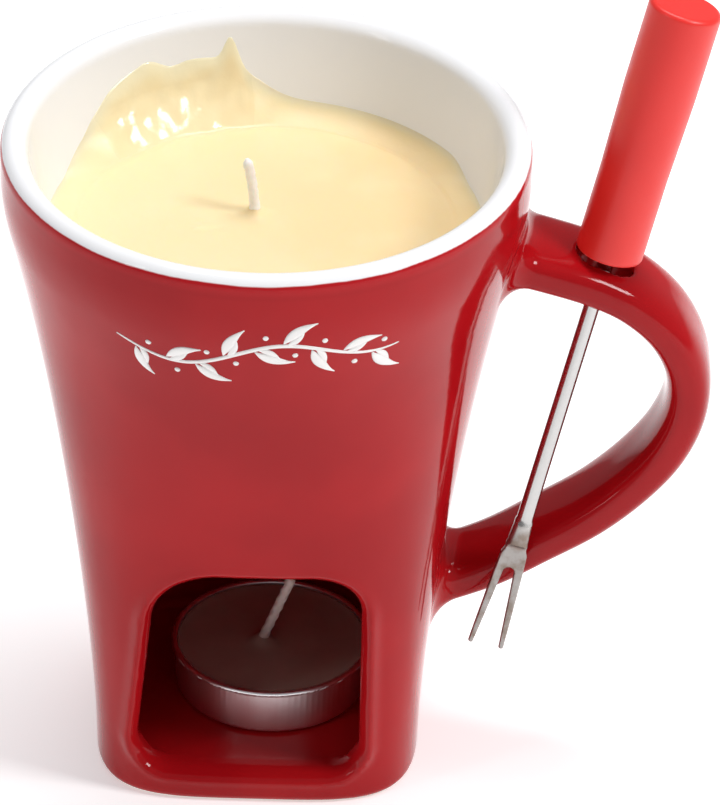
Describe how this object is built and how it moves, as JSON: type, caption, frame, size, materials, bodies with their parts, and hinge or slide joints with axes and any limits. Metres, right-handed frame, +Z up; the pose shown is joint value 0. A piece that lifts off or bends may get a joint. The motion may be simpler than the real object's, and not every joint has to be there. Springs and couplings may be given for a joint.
{
  "type": "fondue mug set",
  "caption": "Square-footed stoneware fondue mug with a candle chamber under its bowl, a tealight, a wax fill with a wick, and a two-tined fork that hangs through a slot in the handle.",
  "frame": {"origin": "centre of the mug's flat foot, on the surface that it stands on", "axes": "+Z up along the mug's axis; the candle window faces -Y; the handle and fork stand out along +X"},
  "size_m": [0.1341, 0.099, 0.1599],
  "materials": {
    "red_glaze": "glossy red glaze outside, white glaze in the bowl",
    "handle_glaze": "glossy red glaze",
    "white_glaze": "raised white glaze on the front",
    "bowl_wax": "pale yellow translucent wax",
    "cotton_wick": "waxed cotton",
    "clip_steel": "thin tinned steel",
    "cup_aluminium": "thin pressed aluminium",
    "tealight_wax": "white translucent wax",
    "grip_plastic": "satin red moulded plastic",
    "fork_steel": "polished shank, satin tines"
  },
  "bodies": {
    "mug": {"mug_body": "red_glaze", "mug_handle": "handle_glaze", "bowl_wax": "bowl_wax", "bowl_wick": "cotton_wick", "bowl_wick_clip": "clip_steel"},
    "tealight": {"tealight_cup": "cup_aluminium", "tealight_wax": "tealight_wax", "tealight_wick": "cotton_wick", "tealight_wick_clip": "clip_steel"},
    "fork": {"fork_grip": "grip_plastic", "fork_steel": "fork_steel"}
  },
  "joints": [
    {"name": "tealight_slide", "type": "slide", "parent": "mug", "child": "tealight", "axis": [-0.1081, -0.9831, 0.1475], "range_m": [0, 0.06]},
    {"name": "fork_lift", "type": "slide", "parent": "mug", "child": "fork", "axis": [0.2429, 0.1392, 0.96], "range_m": [0, 0.1]}
  ]
}
